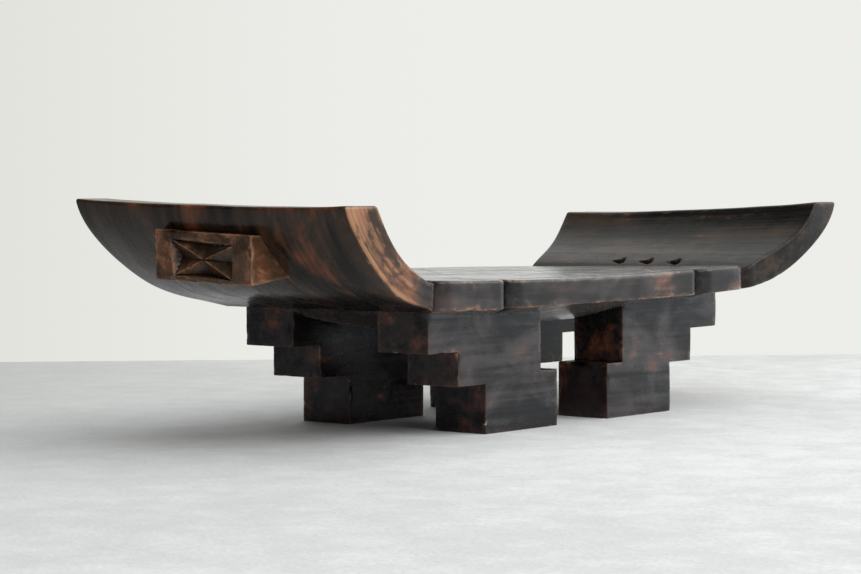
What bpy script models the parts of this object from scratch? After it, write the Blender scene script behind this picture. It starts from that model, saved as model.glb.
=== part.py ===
"""Carved wooden headrest: a scalloped seat between two upturned wings on four stepped legs.

Metres, +Z up.  X runs along the length, Y across the depth, the feet stand on Z = 0 and the
origin is under the middle of the seat.  Every carved member is one closed body; neighbours
keep a small joint gap.
"""
import math

import bmesh
import bpy
import numpy as np
from mathutils import Matrix, Vector

NAME = "headrest"
GAP = 0.0003                      # left between members that meet

# Seat
SEAT_ENDS = (-0.1785, 0.1880)     # where the wings begin
SEAT_HALF_X = 0.1813              # the dish is laid out on this half length
SEAT_HALF_Y = 0.0960
SEAT_TOP = 0.1031                 # at the two ends
SEAT_SAG = 0.0020                 # how much lower the dished top is in the middle
SEAT_STRIPS = 25                  # flat strips along the dished top; the middle one is level
SEAT_EDGE_BOTTOM = 0.0826
NOTCH_X = (-0.1030, 0.1250)       # notches between the three lobes of each long edge
LOBE_RADIUS = 0.0140
NOTCH_DEPTH = 0.0110
BELLY_DEPTH = 0.0180              # how far the underside hangs below its edges
BELLY_HALF_X = 0.1760
BELLY_HALF_Y = 0.0930
BELLY_RIM = 0.0004                # the rim of the hanging part starts inside the slab

# Wings: side profile as (x, z) pairs, seat end first, and half width against height
WING_START = {  # side: first point of the inner and of the outer profile
    -1: ((0.1785, 0.1010), (0.1785, 0.0827)),
    1: ((0.1880, 0.0995), (0.1880, 0.0855)),
}
WING_INNER = ((0.1990, 0.1058), (0.2056, 0.1087), (0.2173, 0.1135),
              (0.2328, 0.1215), (0.2440, 0.1306), (0.2525, 0.1400), (0.2575, 0.1480))
WING_OUTER = ((0.2045, 0.0880), (0.2190, 0.0922), (0.2400, 0.1000),
              (0.2555, 0.1111), (0.2697, 0.1217), (0.2830, 0.1360), (0.2887, 0.1480))
WING_HALF_Y = ((0.0, 0.0960), (0.10, 0.0960), (0.30, 0.1000), (0.55, 0.1070), (0.80, 0.1110),
               (1.0, 0.1130))
WING_BULGE = ((0.0, 0.0), (0.25, 0.0010), (0.60, 0.0086), (0.85, 0.0045), (1.0, 0.0))
BACK_FLARE = {-1: (0.0, 0.0040), 1: (0.0065, -0.0006)}  # extra back half width: at once, by the top
WING_STATIONS = 15
WING_COLUMNS = 13
LEFT_TIP_RISE = (0.0012, 0.0056)  # top edge lifted at the front and at the back corner
RIGHT_TIP_RISE = (0.0, -0.0085)
GOUGE_Y = (-0.0280, -0.0030, 0.0220)
GOUGE_PAST = 0.0065                # from the seat to the middle of a gouge
GOUGE_RADIUS = 0.0036
GOUGE_DEPTH = 0.0060

# Legs: outer steps and inner edges measured from the middle of the length
LEG_OUTER_Y = 0.0789
LEG_INNER_Y = 0.0374
LEG_INNER_X = 0.0488
FOOT_INNER_X = 0.0299
LEDGE_Z = {"leg_front_left": 0.0385, "leg_front_right": 0.0385,
           "leg_back_left": 0.0455, "leg_back_right": 0.0385}
LEGS = {  # node: (x sign, y sign, (upper, middle, foot outer x), (top of foot, top of middle step))
    "leg_front_left": (-1, -1, (0.1692, 0.1388, 0.1094), (0.0327, 0.0552)),
    "leg_front_right": (1, -1, (0.1704, 0.1360, 0.1088), (0.0350, 0.0585)),
    "leg_back_left": (-1, 1, (0.1676, 0.1405, 0.1100), (0.0335, 0.0556)),
    "leg_back_right": (1, 1, (0.1692, 0.1388, 0.1094), (0.0293, 0.0509)),
}

# Lugs on the outer faces of the wings
LUG_FACE_X = 0.2920
LUG_HALF_Y = 0.0410
LUG_Z = (0.1032, 0.1346)
FIELD_HALF_Y = 0.0262
FIELD_Z = (0.1065, 0.1283)
FIELD_DEPTH = 0.0042
RIDGE = 0.0016                    # half width of the flat ridges between the sunk fields


def clear_scene():
    """Empties the scene."""
    for obj in list(bpy.data.objects):
        bpy.data.objects.remove(obj, do_unlink=True)


def collection(name):
    """Returns a new collection linked to the scene."""
    coll = bpy.data.collections.new(name)
    bpy.context.scene.collection.children.link(coll)
    return coll


def add_mesh(name, verts, faces, coll):
    """Makes an object from plain vertex and face lists, faces turned outward."""
    mesh = bpy.data.meshes.new(name)
    mesh.from_pydata([tuple(v) for v in verts], [], faces)
    bm = bmesh.new()
    bm.from_mesh(mesh)
    bmesh.ops.recalc_face_normals(bm, faces=bm.faces)
    bm.to_mesh(mesh)
    bm.free()
    obj = bpy.data.objects.new(name, mesh)
    coll.objects.link(obj)
    return obj


def box(name, low, high, coll, radius=0.0):
    """Makes an upright box, its vertical edges rounded when a radius is given."""
    bm = bmesh.new()
    bmesh.ops.create_cube(bm, size=1.0)
    size = Vector(high) - Vector(low)
    bmesh.ops.scale(bm, vec=size, verts=bm.verts)
    bmesh.ops.translate(bm, vec=(Vector(low) + Vector(high)) / 2, verts=bm.verts)
    if radius > 0:
        upright = [e for e in bm.edges if abs((e.verts[0].co - e.verts[1].co).normalized().z) > 0.99]
        bmesh.ops.bevel(bm, geom=upright, offset=radius, segments=6, profile=0.5, affect="EDGES")
    mesh = bpy.data.meshes.new(name)
    bm.to_mesh(mesh)
    bm.free()
    obj = bpy.data.objects.new(name, mesh)
    coll.objects.link(obj)
    return obj


def apply_boolean(obj, cutter, operation):
    """Adds and applies one exact boolean."""
    mod = obj.modifiers.new(operation.lower(), "BOOLEAN")
    mod.object = cutter
    mod.operation = operation
    mod.solver = "EXACT"
    bpy.context.view_layer.update()
    graph = bpy.context.evaluated_depsgraph_get()
    mesh = bpy.data.meshes.new_from_object(obj.evaluated_get(graph))
    obj.modifiers.clear()
    obj.data = mesh


def tidy_mesh(obj):
    """Welds coincident points and triangulates."""
    bm = bmesh.new()
    bm.from_mesh(obj.data)
    bmesh.ops.remove_doubles(bm, verts=bm.verts, dist=0.000001)
    bmesh.ops.triangulate(bm, faces=bm.faces)
    bmesh.ops.recalc_face_normals(bm, faces=bm.faces)
    bm.to_mesh(obj.data)
    bm.free()


def finish(obj, colour, roughness, angle=30.0):
    """Gives a member its own material and shading."""
    tidy_mesh(obj)
    mat = bpy.data.materials.new(obj.name + "_wood")
    mat.use_nodes = True
    shader = next(n for n in mat.node_tree.nodes if n.type == "BSDF_PRINCIPLED")
    shader.inputs["Base Color"].default_value = (*colour, 1.0)
    shader.inputs["Roughness"].default_value = roughness
    obj.data.materials.clear()
    obj.data.materials.append(mat)
    obj.data.shade_smooth()
    obj.data.set_sharp_from_angle(angle=math.radians(angle))


def make_dish(name, coll):
    """Prism that hollows the top of the seat along its length."""
    far = SEAT_ENDS[1] + 0.002
    xs = np.linspace(-far, far, SEAT_STRIPS + 1)
    low = [(x, SEAT_TOP - SEAT_SAG * (1 - (x / SEAT_HALF_X) ** 2)) for x in xs]
    profile = low + [(xs[-1], SEAT_TOP + 0.01), (xs[0], SEAT_TOP + 0.01)]
    count = len(profile)
    reach = SEAT_HALF_Y + 0.01
    verts = [(x, -reach, z) for x, z in profile] + [(x, reach, z) for x, z in profile]
    faces = [tuple(range(count)), tuple(range(count, 2 * count))]
    for i in range(count):
        j = (i + 1) % count
        faces.append((i, j, count + j, count + i))
    return add_mesh(name, verts, faces, coll)


def belly_height(x, y):
    """Height of the underside: lowest under the middle, level with the edges at the rim."""
    along = max(0.0, 1.0 - abs(x / BELLY_HALF_X) ** 5)
    across = max(0.0, 1.0 - abs(y / BELLY_HALF_Y) ** 1.8)
    return SEAT_EDGE_BOTTOM + BELLY_RIM - BELLY_DEPTH * along * across


def make_belly(name, coll, drop=0.0, top=SEAT_EDGE_BOTTOM + 0.002):
    """Lofts the hanging underside as a grid closed by a flat top."""
    xs = np.linspace(-BELLY_HALF_X, BELLY_HALF_X, 29)
    ys = np.linspace(-BELLY_HALF_Y, BELLY_HALF_Y, 17)
    verts = [(x, y, belly_height(x, y) - drop) for y in ys for x in xs]
    base = len(verts)
    verts += [(x, y, top) for y in ys for x in xs]
    faces = []
    nx = len(xs)
    ny = len(ys)
    for j in range(ny - 1):
        for i in range(nx - 1):
            k = j * nx + i
            faces.append((k, k + nx, k + nx + 1, k + 1))
            faces.append((base + k, base + k + 1, base + k + nx + 1, base + k + nx))
    rim = [i for i in range(nx)]
    rim += [j * nx + nx - 1 for j in range(1, ny)]
    rim += [(ny - 1) * nx + i for i in range(nx - 2, -1, -1)]
    rim += [j * nx for j in range(ny - 2, 0, -1)]
    for a, b in zip(rim, rim[1:] + rim[:1]):
        faces.append((a, b, base + b, base + a))
    return add_mesh(name, verts, faces, coll)


def lobe_outline(x0, x1, half_y, radius, steps=6):
    """Points along one long edge of a lobe, left to right, its two corners rounded."""
    points = []
    for cx, first in ((x0 + radius, 180.0), (x1 - radius, 270.0)):
        for k in range(steps + 1):
            angle = math.radians(first + 90.0 * k / steps)
            points.append((cx + radius * math.cos(angle), -half_y + radius + radius * math.sin(angle)))
    return points


def seat_outline():
    """Plan of the seat: three rounded lobes along each long edge with notches between them."""
    left, right = SEAT_ENDS[0] + GAP / 2, SEAT_ENDS[1] - GAP / 2
    front = []
    for x0, x1 in ((left, NOTCH_X[0]), NOTCH_X, (NOTCH_X[1], right)):
        for point in lobe_outline(x0, x1, SEAT_HALF_Y, LOBE_RADIUS):
            if point[1] < -SEAT_HALF_Y + NOTCH_DEPTH:
                front.append(point)
    front.insert(0, (left, -SEAT_HALF_Y + LOBE_RADIUS))
    front.append((right, -SEAT_HALF_Y + LOBE_RADIUS))
    return front + [(x, -y) for x, y in reversed(front)]


def make_seat(parts, work):
    """Seat slab with lobed long edges, a dished top and a hanging underside."""
    plan = seat_outline()
    count = len(plan)
    verts = [(x, y, SEAT_EDGE_BOTTOM) for x, y in plan] + [(x, y, SEAT_TOP + 0.001) for x, y in plan]
    faces = [tuple(range(count)), tuple(range(count, 2 * count))]
    for i in range(count):
        j = (i + 1) % count
        faces.append((i, j, count + j, count + i))
    seat = add_mesh("seat", verts, faces, parts)
    apply_boolean(seat, make_belly("belly", work), "UNION")
    apply_boolean(seat, make_dish("dish", work), "DIFFERENCE")
    finish(seat, (0.055, 0.036, 0.028), 0.34)
    return seat


def curve_point(points, t):
    """Reads a polyline of (x, z) pairs at the fraction t of its length."""
    pts = np.array(points)
    run = np.concatenate(([0.0], np.cumsum(np.linalg.norm(np.diff(pts, axis=0), axis=1))))
    run /= run[-1]
    return np.array([np.interp(t, run, pts[:, 0]), np.interp(t, run, pts[:, 1])])


def table(pairs, t):
    """Linear reading of a table of (t, value) pairs."""
    keys, values = zip(*pairs)
    return float(np.interp(t, keys, values))


def wing_ring(side, t, rise, grow=0.0):
    """Closed section of a wing at the fraction t from the seat to the top edge."""
    first_inner, first_outer = WING_START[side]
    inner = curve_point((first_inner,) + WING_INNER, t)
    outer = curve_point((first_outer,) + WING_OUTER, t)
    across = outer - inner
    across /= np.linalg.norm(across)
    outer = outer + across * grow
    front = table(WING_HALF_Y, t)
    back = front + BACK_FLARE[side][0] * min(1.0, t / 0.1) + BACK_FLARE[side][1] * t
    bulge = table(WING_BULGE, t)
    columns = np.linspace(-1.0, 1.0, WING_COLUMNS)

    def place(point, u):
        return point, u * (back if u > 0 else front)

    ring = [place(outer + across * bulge * (1 - abs(u) ** 2.2), u * 0.985) for u in columns]
    ring[0] = (ring[0][0] - across * 0.001, ring[0][1])
    ring[-1] = (ring[-1][0] - across * 0.001, ring[-1][1])
    ring.append(place(outer - across * 0.0035, 1.0))
    ring.append(place(inner + across * 0.0015, 1.0))
    ring += [place(inner, u * 0.992) for u in columns[::-1]]
    ring.append(place(inner + across * 0.0015, -1.0))
    ring.append(place(outer - across * 0.0035, -1.0))
    points = []
    for (x, z), y in ring:
        u = y / (back if y > 0 else front)
        share = (u + 1) / 2
        lift = (rise[0] * (1 - share) + rise[1] * share + 0.0014 * abs(u) ** 4) * t ** 2
        points.append((x, y, z + lift))
    return points


def make_wing(name, side, rise, coll, grow=0.0, start=GAP / 2):
    """Lofts one wing; side is -1 for the left and 1 for the right."""
    rings = [wing_ring(side, t, rise, grow) for t in np.linspace(0.0, 1.0, WING_STATIONS)]
    rings[0] = [(WING_START[side][0][0] + start, y, z) for x, y, z in rings[0]]
    count = len(rings[0])
    verts = [(side * x, y, z) for ring in rings for x, y, z in ring]
    faces = []
    for j in range(len(rings) - 1):
        for i in range(count):
            a = j * count + i
            b = j * count + (i + 1) % count
            faces.append((a, b, b + count, a + count))
    for first in (0, len(verts) - count):
        for i in range(WING_COLUMNS - 1):
            quad = (i, i + 1, count - i - 4, count - i - 3)
            faces.append(tuple(first + k for k in quad))
        c = WING_COLUMNS
        faces.append((first + c - 1, first + c, first + c + 1, first + c + 2))
        faces.append((first + count - 3, first + count - 2, first + count - 1, first))
    return add_mesh(name, verts, faces, coll)


def make_gouges(side, work):
    """Short round cutters standing square to the inner face of a wing."""
    cutters = []
    for y in GOUGE_Y:
        bm = bmesh.new()
        bmesh.ops.create_cone(bm, cap_ends=True, segments=20, radius1=GOUGE_RADIUS * 0.6,
                              radius2=GOUGE_RADIUS, depth=2 * GOUGE_DEPTH)
        mesh = bpy.data.meshes.new("gouge")
        tilt = Matrix.Rotation(-side * math.radians(20), 4, "Y")
        profile = (WING_START[side][0],) + WING_INNER
        x = profile[0][0] + GOUGE_PAST
        z = np.interp(x, [p[0] for p in profile], [p[1] for p in profile])
        bmesh.ops.transform(bm, matrix=Matrix.Translation((side * x, y, z)) @ tilt, verts=bm.verts)
        bm.to_mesh(mesh)
        bm.free()
        obj = bpy.data.objects.new("gouge", mesh)
        work.objects.link(obj)
        cutters.append(obj)
    return cutters


def make_leg(name, coll, work):
    """One plate leg, stepped on its outer side and with a ledge on its inner side."""
    sx, sy, (upper, middle, foot), (foot_top, step_top) = LEGS[name]
    top = SEAT_EDGE_BOTTOM + 0.002

    def slab(label, x0, x1, z0, z1, where):
        xs = sorted((sx * x0, sx * x1))
        ys = sorted((sy * LEG_INNER_Y, sy * LEG_OUTER_Y))
        return box(label, (xs[0], ys[0], z0), (xs[1], ys[1], z1), where)

    leg = slab(name, LEG_INNER_X, foot, 0.0, top, coll)
    apply_boolean(leg, slab("foot", FOOT_INNER_X, foot, 0.0, LEDGE_Z[name], work), "UNION")
    apply_boolean(leg, slab("middle", LEG_INNER_X, middle, foot_top, top, work), "UNION")
    apply_boolean(leg, slab("upper", LEG_INNER_X, upper, step_top, top, work), "UNION")
    apply_boolean(leg, make_belly("belly_cut", work, BELLY_RIM + GAP * 1.1, SEAT_TOP), "DIFFERENCE")
    mod = leg.modifiers.new("edges", "BEVEL")
    mod.width = 0.0006
    mod.segments = 1
    mod.limit_method = "ANGLE"
    mod.angle_limit = math.radians(60)
    bpy.context.view_layer.update()
    graph = bpy.context.evaluated_depsgraph_get()
    mesh = bpy.data.meshes.new_from_object(leg.evaluated_get(graph))
    leg.modifiers.clear()
    leg.data = mesh
    finish(leg, (0.040, 0.028, 0.024), 0.42, 25.0)
    return leg


def make_field(corners, work):
    """Pyramid cutter of one sunk triangular field, its base on the face of the lug."""
    middle_y = sum(c[0] for c in corners) / 3
    middle_z = sum(c[1] for c in corners) / 3
    face = LUG_FACE_X + 0.001
    verts = [(face, y, z) for y, z in corners]
    verts.append((LUG_FACE_X - FIELD_DEPTH, middle_y, middle_z))
    faces = [(0, 1, 2), (0, 1, 3), (1, 2, 3), (2, 0, 3)]
    return add_mesh("field", verts, faces, work)


def make_lug(name, side, wing_cut, coll, work):
    """Block on the outer face of a wing, carved with four sunk triangles leaving a cross."""
    lug = box(name, (0.235, -LUG_HALF_Y, LUG_Z[0]), (LUG_FACE_X, LUG_HALF_Y, LUG_Z[1]), coll)
    y = FIELD_HALF_Y
    z0, z1 = FIELD_Z
    zc = (z0 + z1) / 2
    r = RIDGE
    fields = (
        ((-y + 2.4 * r, z1), (y - 2.4 * r, z1), (0.0, zc + r)),
        ((-y + 2.4 * r, z0), (y - 2.4 * r, z0), (0.0, zc - r)),
        ((-y, z1 - r), (-y, z0 + r), (-2.4 * r, zc)),
        ((y, z1 - r), (y, z0 + r), (2.4 * r, zc)),
    )
    for corners in fields:
        apply_boolean(lug, make_field(corners, work), "DIFFERENCE")
    if side < 0:
        lug.data.transform(Matrix.Scale(-1, 4, (1, 0, 0)))
        lug.data.flip_normals()
    apply_boolean(lug, wing_cut, "DIFFERENCE")
    keep_largest(lug)
    finish(lug, (0.110, 0.070, 0.050), 0.45, 25.0)
    return lug


def keep_largest(obj):
    """Keeps the biggest loose piece, so a cut that passes right through leaves one body."""
    bm = bmesh.new()
    bm.from_mesh(obj.data)
    seen = set()
    groups = []
    for vert in bm.verts:
        if vert in seen:
            continue
        stack = [vert]
        group = []
        seen.add(vert)
        while stack:
            v = stack.pop()
            group.append(v)
            for edge in v.link_edges:
                other = edge.other_vert(v)
                if other not in seen:
                    seen.add(other)
                    stack.append(other)
        groups.append(group)
    groups.sort(key=lambda g: max(abs(v.co.x) for v in g))
    extra = [v for g in groups[:-1] for v in g]
    bmesh.ops.delete(bm, geom=extra, context="VERTS")
    bm.to_mesh(obj.data)
    bm.free()


def main():
    """Builds every member of the headrest."""
    clear_scene()
    parts = collection(NAME)
    work = collection("work")
    make_seat(parts, work)
    for side, word, rise in ((-1, "left", LEFT_TIP_RISE), (1, "right", RIGHT_TIP_RISE)):
        wing = make_wing(word + "_wing", side, rise, parts)
        for cutter in make_gouges(side, work):
            apply_boolean(wing, cutter, "DIFFERENCE")
        finish(wing, (0.075, 0.050, 0.038), 0.32)
        cut = make_wing("wing_cut", side, rise, work, grow=GAP * 1.2, start=-0.002)
        make_lug(word + "_lug", side, cut, parts, work)
    for name in LEGS:
        make_leg(name, parts, work)
    for obj in work.objects:
        obj.hide_render = True
        obj.display_type = "WIRE"


main()
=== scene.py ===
"""Dark carved headrest: a lobed seat between two upturned wings on four stepped legs.

Every member of the frame gets a hand-carved skin with worn edges and a waxed wood finish.
Metres, +Z up; X runs along the length and the feet stand on Z = 0.
"""
import logging
import math
from dataclasses import dataclass, field
from enum import Enum
from functools import cache

import bmesh
import bpy
import numpy as np
from mathutils import Matrix, Vector, noise


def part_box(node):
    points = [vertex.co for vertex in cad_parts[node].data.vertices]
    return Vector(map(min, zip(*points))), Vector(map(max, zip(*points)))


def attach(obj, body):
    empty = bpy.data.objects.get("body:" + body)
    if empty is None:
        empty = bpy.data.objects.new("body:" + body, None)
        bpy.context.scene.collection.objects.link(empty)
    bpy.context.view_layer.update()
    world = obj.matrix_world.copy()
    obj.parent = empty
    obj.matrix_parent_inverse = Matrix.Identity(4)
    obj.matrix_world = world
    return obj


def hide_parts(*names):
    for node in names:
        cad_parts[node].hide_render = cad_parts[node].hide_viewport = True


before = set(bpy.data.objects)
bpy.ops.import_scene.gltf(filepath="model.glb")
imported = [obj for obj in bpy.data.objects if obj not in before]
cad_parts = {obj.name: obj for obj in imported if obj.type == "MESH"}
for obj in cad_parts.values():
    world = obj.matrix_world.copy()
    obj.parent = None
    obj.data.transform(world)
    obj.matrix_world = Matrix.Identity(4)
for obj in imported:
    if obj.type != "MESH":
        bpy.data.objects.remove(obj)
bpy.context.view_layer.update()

Array = np.ndarray
Pair = tuple[float, float]
Triple = tuple[float, float, float]
log = logging.getLogger("headrest")

BODY = "root"
EDGE_SLOPES = (0.268, 0.577)  # tangents of 15 and 30 degrees: rows of points on a worn edge


class Side(Enum):
    """The two ends of the headrest."""

    LEFT = -1
    RIGHT = 1


# ---------------------------------------------------------------- carved surfaces


def hills(points: Array, size: float, seed: int, stretch: Triple = (1.0, 1.0, 1.0)) -> Array:
    """Reads a smooth field of hills and hollows at mesh points.

    Args:
        points: Places to read, one row each.
        size: Distance between neighbouring hills.
        seed: Which field to read.
        stretch: How much longer the hills are along each axis.

    Returns:
        One height for each point, from about -1 to 1.
    """
    places = points / (np.array(stretch) * size) + np.array((17.3, 9.1, 4.7)) * seed
    return np.array([noise.noise(place) for place in places.tolist()])


def smooth_step(values: Array, low: float, high: float) -> Array:
    """Eases values from 0 at low to 1 at high.

    Args:
        values: Numbers to ease.
        low: Value that gives 0.
        high: Value that gives 1.

    Returns:
        The eased numbers.
    """
    share = np.clip((np.asarray(values, float) - low) / (high - low), 0.0, 1.0)
    return share * share * (3.0 - 2.0 * share)


def fitted(keys: Array, values: Array, degree: int, places: Array) -> Array:
    """Returns a polynomial through a few values, read at places."""
    return np.polyval(np.polyfit(keys, values, degree), places)


def fair_curve(pairs: tuple[Pair, ...], degree: int, shares: Array) -> Array:
    """Draws one fair curve along a few points of an outline.

    Args:
        pairs: Points of the outline in order.
        degree: Stiffness of the curve.
        shares: Fractions of the length to read.

    Returns:
        One point for each fraction.
    """
    points = np.array(pairs)
    run = np.concatenate(([0.0], np.cumsum(np.linalg.norm(np.diff(points, axis=0), axis=1))))
    run /= run[-1]
    return np.stack([fitted(run, points[:, k], degree, shares) for k in (0, 1)], axis=-1)


@dataclass
class Timber:
    """Upright boxes joined into one block, gridded finely and worn along its outer edges.

    Every largest box that fits in the block is listed, so that inner corners stay crisp.
    """

    boxes: list[tuple[Triple, Triple]]
    edge: float
    pitch: Triple
    fine: tuple[tuple[int, float, float, float], ...] = ()

    def lines(self, axis: int) -> Array:
        """Places the grid lines along one axis, close together beside every step.

        Args:
            axis: 0, 1 or 2.

        Returns:
            Sorted positions.
        """
        steps = sorted({round(corner[axis], 6) for box in self.boxes for corner in box})
        marks = list(steps)
        for low, high in zip(steps, steps[1:]):
            inner_low, inner_high = low + self.edge, high - self.edge
            if inner_high - inner_low < self.edge:
                marks.extend(np.linspace(low, high, 5)[1:-1])
                continue
            count = max(1, round((inner_high - inner_low) / self.pitch[axis]))
            marks.extend(np.linspace(inner_low, inner_high, count + 1))
            for slope in EDGE_SLOPES:
                marks += [inner_low - self.edge * slope, inner_high + self.edge * slope]
        for fine_axis, low, high, pitch in self.fine:
            if fine_axis == axis:
                marks = [m for m in marks if not low < m < high]
                marks.extend(np.linspace(low, high, round((high - low) / pitch) + 1)[1:-1])
        return np.unique(np.round(marks, 7))

    def surface(self) -> tuple[Array, Array]:
        """Cuts the skin of the block into quads.

        Returns:
            The points, and the four corners of each quad in outward order.
        """
        lines = [self.lines(axis) for axis in range(3)]
        middles = [(line[1:] + line[:-1]) / 2 for line in lines]
        solid = np.zeros([len(m) for m in middles], bool)
        for low, high in self.boxes:
            inside = [(m > low[k]) & (m < high[k]) for k, m in enumerate(middles)]
            solid[np.ix_(*inside)] = True
        room = np.pad(solid, 1)
        counts = [len(line) for line in lines]
        units = np.eye(3, dtype=int)
        quads = []
        for axis in range(3):
            along, across = units[(axis + 1) % 3], units[(axis + 2) % 3]
            for sign in (-1, 1):
                bare = room & ~np.roll(room, -sign, axis)
                base = np.argwhere(bare[1:-1, 1:-1, 1:-1]) + (units[axis] if sign > 0 else 0)
                corners = [base, base + along, base + along + across, base + across][::sign]
                quads.append(np.stack([np.ravel_multi_index(c.T, counts) for c in corners], axis=1))
        quads = np.concatenate(quads)
        used, quads = np.unique(quads, return_inverse=True)
        index = np.stack(np.unravel_index(used, counts), axis=1)
        points = np.stack([lines[k][index[:, k]] for k in range(3)], axis=1)
        return points, quads.reshape(-1, 4)

    def worn(self, points: Array) -> Array:
        """Rounds the outer edges by moving each skin point onto a ball rolled inside.

        Args:
            points: Points of the square-edged skin.

        Returns:
            The same points with every outer edge rounded.
        """
        best = np.full(len(points), np.inf)
        core = np.zeros_like(points)
        for low, high in self.boxes:
            near = np.clip(points, np.array(low) + self.edge, np.array(high) - self.edge)
            gap = np.linalg.norm(points - near, axis=1)
            closer = gap < best
            best[closer] = gap[closer]
            core[closer] = near[closer]
        return core + (points - core) * (self.edge / best)[:, None]


@dataclass(frozen=True)
class Wear:
    """How hard a member was used: sizes of its dents, chips and uneven faces."""

    unevenness: float = 0.00022
    ripple: float = 0.00007
    chip_depth: float = 0.0007
    chip_size: float = 0.0085
    seed: int = 1

    def use(self, obj: bpy.types.Object, free: Array | None = None) -> None:
        """Makes the faces uneven, chips the edges and records the edges and the hollows; the finish
        paints shade into the hollows.

        Args:
            obj: Piece with its final layout of faces.
            free: How far each point may move, from 0 to 1.
        """
        mesh = obj.data
        points, normals = read_points(mesh), read_normals(mesh)
        free = np.ones(len(points)) if free is None else free
        edge = smooth_step(spread(mesh, curvature(mesh), 1), 90.0, 420.0)
        chips = smooth_step(hills(points, self.chip_size, self.seed + 5), 0.30, 0.62)
        nicks = smooth_step(hills(points, self.chip_size * 0.4, self.seed + 6), 0.28, 0.60)
        depth = self.unevenness * hills(points, 0.032, self.seed)
        depth += self.ripple * hills(points, 0.007, self.seed + 1, (2.5, 1.0, 1.0))
        depth -= edge * (self.chip_depth * chips + self.chip_depth * 0.35 * nicks)
        write_points(mesh, points + normals * (depth * free)[:, None])
        turn = curvature(mesh)
        write_field(mesh, "edge", smooth_step(spread(mesh, np.maximum(turn, 0.0), 1), 70.0, 420.0))
        # hollow: where the finish paints shade
        write_field(mesh, "hollow", smooth_step(spread(mesh, np.maximum(-turn, 0.0), 2), 60.0, 380.0))


def read_rows(items: bpy.types.bpy_prop_collection, name: str, width: int, kind: type) -> Array:
    """Reads a property of all vertices, edges or field values of a mesh.

    Args:
        items: What to read from.
        name: Name of the property.
        width: How many numbers the property holds.
        kind: Their type in the mesh.

    Returns:
        One row for each item.
    """
    flat = np.empty(len(items) * width, kind)
    items.foreach_get(name, flat)
    return flat.reshape(-1, width)


def read_points(mesh: bpy.types.Mesh) -> Array:
    """Returns the vertex positions of a mesh."""
    return read_rows(mesh.vertices, "co", 3, np.float32).astype(float)


def read_normals(mesh: bpy.types.Mesh) -> Array:
    """Returns the vertex normals of a mesh."""
    return read_rows(mesh.vertex_normals, "vector", 3, np.float32).astype(float)


def read_edges(mesh: bpy.types.Mesh) -> Array:
    """Returns the two ends of every edge of a mesh."""
    return read_rows(mesh.edges, "vertices", 2, np.int32)


def write_points(mesh: bpy.types.Mesh, points: Array) -> None:
    """Moves the vertices of a mesh to new positions."""
    mesh.vertices.foreach_set("co", points.astype(np.float32).ravel())
    mesh.update()


def write_field(mesh: bpy.types.Mesh, name: str, values: Array) -> None:
    """Stores a number or a vector for each vertex of a mesh.

    Args:
        mesh: Mesh that gets the field.
        name: Name by which finishes read it.
        values: One number or one row of three for each vertex.
    """
    kind, key = ("FLOAT", "value") if values.ndim == 1 else ("FLOAT_VECTOR", "vector")
    data = mesh.attributes.new(name, kind, "POINT").data
    data.foreach_set(key, values.astype(np.float32).ravel())


def paint_hollow_shade(mesh: bpy.types.Mesh, values: Array) -> None:
    """Raises the field "hollow" of a mesh, the painted shade of its hollows, to at least the given
    numbers.
    """
    data = mesh.attributes["hollow"].data
    deepest = np.maximum(read_rows(data, "value", 1, np.float32)[:, 0], values)
    data.foreach_set("value", deepest.astype(np.float32))


def curvature(mesh: bpy.types.Mesh) -> Array:
    """Measures how tightly the surface turns at each vertex.

    Args:
        mesh: Mesh to measure.

    Returns:
        Curvature in 1/m, above zero on outer edges and below zero in hollows.
    """
    points, normals, edges = read_points(mesh), read_normals(mesh), read_edges(mesh)
    step = points[edges[:, 1]] - points[edges[:, 0]]
    square = np.maximum((step ** 2).sum(axis=1), 1e-10)
    first = -(step * normals[edges[:, 0]]).sum(axis=1) / square
    second = (step * normals[edges[:, 1]]).sum(axis=1) / square
    total = np.bincount(edges[:, 0], first, len(points))
    total += np.bincount(edges[:, 1], second, len(points))
    count = np.bincount(edges.ravel(), minlength=len(points))
    return 2.0 * total / np.maximum(count, 1)


def spread(mesh: bpy.types.Mesh, values: Array, rounds: int) -> Array:
    """Averages values with their neighbours.

    Args:
        mesh: Mesh that carries the values.
        values: One number for each vertex.
        rounds: How many times to average.

    Returns:
        The softened values.
    """
    edges = read_edges(mesh)
    count = np.maximum(np.bincount(edges.ravel(), minlength=len(values)), 1)
    for _ in range(rounds):
        total = np.bincount(edges[:, 0], values[edges[:, 1]], len(values))
        total += np.bincount(edges[:, 1], values[edges[:, 0]], len(values))
        values = 0.5 * values + 0.5 * total / count
    return values


def add_object(name: str, data: bpy.types.ID) -> bpy.types.Object:
    """Returns a new object, linked to the scene."""
    obj = bpy.data.objects.new(name, data)
    bpy.context.scene.collection.objects.link(obj)
    return obj


def make_piece(name: str, points: Array, faces: list[tuple[int, ...]], sharp: float) -> bpy.types.Object:
    """Makes a closed piece from points and faces.

    Args:
        name: Name of the piece.
        points: Vertex positions.
        faces: Corner indices of each face.
        sharp: Angle in degrees above which an edge stays crisp.

    Returns:
        The new piece.
    """
    mesh = bpy.data.meshes.new(name)
    mesh.from_pydata(points.tolist(), [], faces)
    work = bmesh.new()
    work.from_mesh(mesh)
    bmesh.ops.recalc_face_normals(work, faces=work.faces)
    work.to_mesh(mesh)
    work.free()
    mesh.shade_smooth()
    mesh.set_sharp_from_angle(angle=math.radians(sharp))
    return add_object(name, mesh)


# ---------------------------------------------------------------- finishes


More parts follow.
